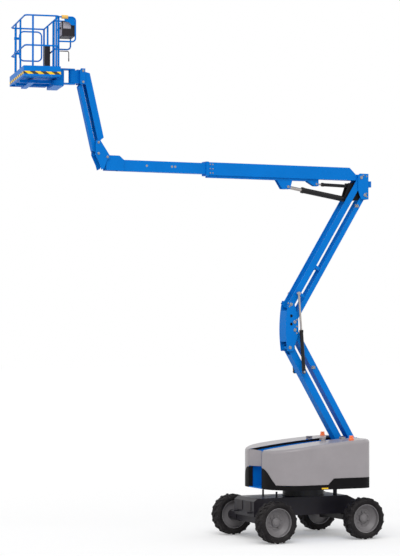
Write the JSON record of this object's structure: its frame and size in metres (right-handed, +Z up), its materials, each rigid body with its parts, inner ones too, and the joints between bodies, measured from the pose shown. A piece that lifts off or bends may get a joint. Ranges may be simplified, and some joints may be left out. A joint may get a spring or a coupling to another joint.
{
  "type": "articulating boom lift",
  "caption": "Self-propelled articulating boom lift: wheeled chassis, slewing turntable, folding parallelogram riser, telescopic boom, jib and railed work platform.",
  "frame": {"origin": "on the ground, midway between the axles and between the wheels", "axes": "+X forward from the steered end to the platform end, +Y to the machine's left, +Z up"},
  "size_m": [8.0666, 2.29, 10.3806],
  "materials": {
    "axle_grey": "satin",
    "bare_steel": "machined",
    "beacon_orange": "gloss",
    "block_grey": "matt",
    "boom_blue": "semi-gloss",
    "box_black": "matt",
    "cowl_grey": "satin",
    "cylinder_black": "semi-gloss",
    "floor_metal": "worn",
    "frame_charcoal": "satin",
    "rail_blue": "semi-gloss",
    "rim_grey": "satin",
    "rod_chrome": "polished",
    "skirt_black": "matt",
    "sleeve_yellow": "matt",
    "tyre_rubber": "matt",
    "weight_iron": "rough"
  },
  "bodies": {
    "chassis": {"chassis_frame": "frame_charcoal", "front_axle": "axle_grey", "rear_axle": "frame_charcoal", "slew_ring": "bare_steel", "tie_down_lugs": "frame_charcoal", "face_plates": "frame_charcoal", "steer_cylinder": "cylinder_black"},
    "wheel_front_left": {"tyre_front_left": "tyre_rubber", "rim_front_left": "rim_grey"},
    "wheel_front_right": {"tyre_front_right": "tyre_rubber", "rim_front_right": "rim_grey"},
    "wheel_rear_left": {"tyre_rear_left": "tyre_rubber", "rim_rear_left": "rim_grey"},
    "wheel_rear_right": {"tyre_rear_right": "tyre_rubber", "rim_rear_right": "rim_grey"},
    "knuckle_left": {"knuckle_left": "frame_charcoal"},
    "knuckle_right": {"knuckle_right": "frame_charcoal"},
    "steer_rod": {"steer_rod": "rod_chrome"},
    "turntable": {"turntable_deck": "boom_blue", "counterweight": "weight_iron", "battery_box": "block_grey", "power_pack": "block_grey", "skirts": "skirt_black"},
    "cover_left": {"cover_left": "cowl_grey", "beacon_left": "beacon_orange"},
    "cover_right": {"cover_right": "cowl_grey", "beacon_right": "beacon_orange"},
    "lower_arm": {"lower_arm": "boom_blue"},
    "lower_link": {"lower_link": "boom_blue"},
    "mid_pivot": {"mid_pivot": "boom_blue"},
    "upper_arm": {"upper_arm": "boom_blue"},
    "upper_link": {"upper_link": "boom_blue"},
    "upright": {"upright": "boom_blue"},
    "riser_barrel_left": {"riser_barrel_left": "cylinder_black"},
    "riser_barrel_right": {"riser_barrel_right": "cylinder_black"},
    "riser_rod_left": {"riser_rod_left": "rod_chrome"},
    "riser_rod_right": {"riser_rod_right": "rod_chrome"},
    "boom": {"boom": "boom_blue"},
    "boom_extension": {"boom_extension": "boom_blue"},
    "lift_barrel": {"lift_barrel": "cylinder_black"},
    "lift_rod": {"lift_rod": "rod_chrome"},
    "level_barrel": {"level_barrel": "cylinder_black"},
    "level_rod": {"level_rod": "rod_chrome"},
    "jib_base": {"jib_base": "boom_blue"},
    "jib_lower_arm": {"jib_lower_arm": "boom_blue"},
    "jib_upper_arm": {"jib_upper_arm": "boom_blue"},
    "jib_head": {"jib_head": "boom_blue"},
    "platform": {"platform_support": "boom_blue", "platform_floor": "floor_metal", "guard_rails": "rail_blue", "control_box": "box_black", "rear_case": "box_black", "rail_sleeve": "sleeve_yellow"},
    "gate": {"gate": "rail_blue"}
  },
  "joints": [
    {"name": "wheel_front_left_spin", "type": "hinge", "parent": "chassis", "child": "wheel_front_left", "pos_m": [1.015, 0.9875, 0.427], "axis": [0, 1, 0], "continuous": true},
    {"name": "wheel_front_right_spin", "type": "hinge", "parent": "chassis", "child": "wheel_front_right", "pos_m": [1.015, -0.9875, 0.427], "axis": [0, 1, 0], "continuous": true},
    {"name": "steer_left", "type": "hinge", "parent": "chassis", "child": "knuckle_left", "pos_m": [-1.015, 0.74, 0.427], "axis": [0, 0, 1], "range_deg": [-30, 30]},
    {"name": "wheel_rear_left_spin", "type": "hinge", "parent": "knuckle_left", "child": "wheel_rear_left", "pos_m": [-1.015, 0.9875, 0.427], "axis": [0, 1, 0], "continuous": true},
    {"name": "steer_right", "type": "hinge", "parent": "chassis", "child": "knuckle_right", "pos_m": [-1.015, -0.74, 0.427], "axis": [0, 0, 1], "range_deg": [-30, 30]},
    {"name": "wheel_rear_right_spin", "type": "hinge", "parent": "knuckle_right", "child": "wheel_rear_right", "pos_m": [-1.015, -0.9875, 0.427], "axis": [0, 1, 0], "continuous": true},
    {"name": "steer_rod_slide", "type": "slide", "parent": "chassis", "child": "steer_rod", "axis": [0, 1, 0], "range_m": [-0.081, 0.081]},
    {"name": "slew", "type": "hinge", "parent": "chassis", "child": "turntable", "pos_m": [-0.15, 0, 1.01], "axis": [0, 0, 1], "range_deg": [-177.5, 177.5]},
    {"name": "cover_left_lift", "type": "hinge", "parent": "turntable", "child": "cover_left", "pos_m": [-0.15, 0.292, 2.048], "axis": [1, 0, 0], "range_deg": [0, 60]},
    {"name": "cover_right_lift", "type": "hinge", "parent": "turntable", "child": "cover_right", "pos_m": [-0.15, -0.292, 2.048], "axis": [-1, 0, 0], "range_deg": [0, 60]},
    {"name": "riser_lift", "type": "hinge", "parent": "turntable", "child": "lower_arm", "pos_m": [-1.209, 0, 1.5], "axis": [0, -1, 0], "range_deg": [-57.5, 0]},
    {"name": "lower_link_turn", "type": "hinge", "parent": "turntable", "child": "lower_link", "pos_m": [-1.324, 0, 1.863], "axis": [0, -1, 0], "range_deg": [-57.5, 0]},
    {"name": "mid_pivot_turn", "type": "hinge", "parent": "lower_arm", "child": "mid_pivot", "pos_m": [0.238, 0, 3.924], "axis": [0, -1, 0], "range_deg": [0, 57.5]},
    {"name": "upper_arm_turn", "type": "hinge", "parent": "mid_pivot", "child": "upper_arm", "pos_m": [0.212, 0, 4.819], "axis": [0, -1, 0], "range_deg": [0, 57.5]},
    {"name": "upper_link_turn", "type": "hinge", "parent": "mid_pivot", "child": "upper_link", "pos_m": [0.128, 0, 4.453], "axis": [0, -1, 0], "range_deg": [0, 57.5]},
    {"name": "upright_turn", "type": "hinge", "parent": "upper_arm", "child": "upright", "pos_m": [-1.471, 0, 7.5], "axis": [0, -1, 0], "range_deg": [-57.5, 0]},
    {"name": "riser_barrel_left_turn", "type": "hinge", "parent": "lower_arm", "child": "riser_barrel_left", "pos_m": [-0.061, 0.202, 3.416], "axis": [0, -1, 0], "range_deg": [0, 43.89]},
    {"name": "riser_rod_left_slide", "type": "slide", "parent": "riser_barrel_left", "child": "riser_rod_left", "axis": [0.0736, 0, 0.9973], "range_m": [-0.6885, 0]},
    {"name": "riser_barrel_right_turn", "type": "hinge", "parent": "lower_arm", "child": "riser_barrel_right", "pos_m": [-0.061, -0.202, 3.416], "axis": [0, -1, 0], "range_deg": [0, 43.89]},
    {"name": "riser_rod_right_slide", "type": "slide", "parent": "riser_barrel_right", "child": "riser_rod_right", "axis": [0.0736, 0, 0.9973], "range_m": [-0.6885, 0]},
    {"name": "boom_lift", "type": "hinge", "parent": "upright", "child": "boom", "pos_m": [-1.471, 0, 7.5], "axis": [0, -1, 0], "range_deg": [0, 75]},
    {"name": "lift_barrel_turn", "type": "hinge", "parent": "upright", "child": "lift_barrel", "pos_m": [-1.165, 0, 7.039], "axis": [0, -1, 0], "range_deg": [0, 70.83]},
    {"name": "lift_rod_slide", "type": "slide", "parent": "lift_barrel", "child": "lift_rod", "axis": [0.9876, 0, 0.1572], "range_m": [0, 0.672]},
    {"name": "level_barrel_turn", "type": "hinge", "parent": "upright", "child": "level_barrel", "pos_m": [-1.225, 0, 7.318], "axis": [0, -1, 0], "range_deg": [0, 79.7]},
    {"name": "level_rod_slide", "type": "slide", "parent": "level_barrel", "child": "level_rod", "axis": [0.9997, 0, 0.0256], "range_m": [0, 0.3745]},
    {"name": "boom_extend", "type": "slide", "parent": "boom", "child": "boom_extension", "axis": [1, 0, 0], "range_m": [-1.5, 0]},
    {"name": "jib_base_level", "type": "hinge", "parent": "boom_extension", "child": "jib_base", "pos_m": [4.323, 0, 7.728], "axis": [0, -1, 0], "range_deg": [-75, 0]},
    {"name": "jib_lift", "type": "hinge", "parent": "jib_base", "child": "jib_lower_arm", "pos_m": [4.515, 0, 7.79], "axis": [0, -1, 0], "range_deg": [-135, 0]},
    {"name": "jib_upper_turn", "type": "hinge", "parent": "jib_base", "child": "jib_upper_arm", "pos_m": [4.515, 0, 8.01], "axis": [0, -1, 0], "range_deg": [-135, 0]},
    {"name": "jib_head_level", "type": "hinge", "parent": "jib_lower_arm", "child": "jib_head", "pos_m": [4.848, 0, 9.192], "axis": [0, -1, 0], "range_deg": [0, 135]},
    {"name": "platform_turn", "type": "hinge", "parent": "jib_head", "child": "platform", "pos_m": [5.045, 0, 9.295], "axis": [0, 0, 1], "range_deg": [-80, 100]},
    {"name": "gate_swing", "type": "hinge", "parent": "platform", "child": "gate", "pos_m": [5.83193, -1.06499, 9.8], "axis": [0, 0, -1], "range_deg": [0, 60]}
  ],
  "couplings": [
    {"joint": "steer_right", "follows": "steer_left", "ratio": 1},
    {"joint": "steer_rod_slide", "follows": "steer_left", "m_per_rad": -0.15279},
    {"joint": "lower_link_turn", "follows": "riser_lift", "ratio": 1},
    {"joint": "mid_pivot_turn", "follows": "riser_lift", "ratio": -1},
    {"joint": "upper_arm_turn", "follows": "riser_lift", "ratio": -1},
    {"joint": "upper_link_turn", "follows": "riser_lift", "ratio": -1},
    {"joint": "upright_turn", "follows": "riser_lift", "ratio": 1},
    {"joint": "riser_barrel_left_turn", "follows": "riser_lift", "ratio": -0.76306},
    {"joint": "riser_rod_left_slide", "follows": "riser_lift", "m_per_rad": 0.67609},
    {"joint": "riser_barrel_right_turn", "follows": "riser_lift", "ratio": -0.76306},
    {"joint": "riser_rod_right_slide", "follows": "riser_lift", "m_per_rad": 0.67609},
    {"joint": "lift_barrel_turn", "follows": "boom_lift", "ratio": 0.94429},
    {"joint": "lift_rod_slide", "follows": "boom_lift", "m_per_rad": 0.50574},
    {"joint": "level_barrel_turn", "follows": "boom_lift", "ratio": 1.0625},
    {"joint": "level_rod_slide", "follows": "boom_lift", "m_per_rad": 0.27843},
    {"joint": "jib_base_level", "follows": "boom_lift", "ratio": -1},
    {"joint": "jib_upper_turn", "follows": "jib_lift", "ratio": 1},
    {"joint": "jib_head_level", "follows": "jib_lift", "ratio": -1}
  ]
}
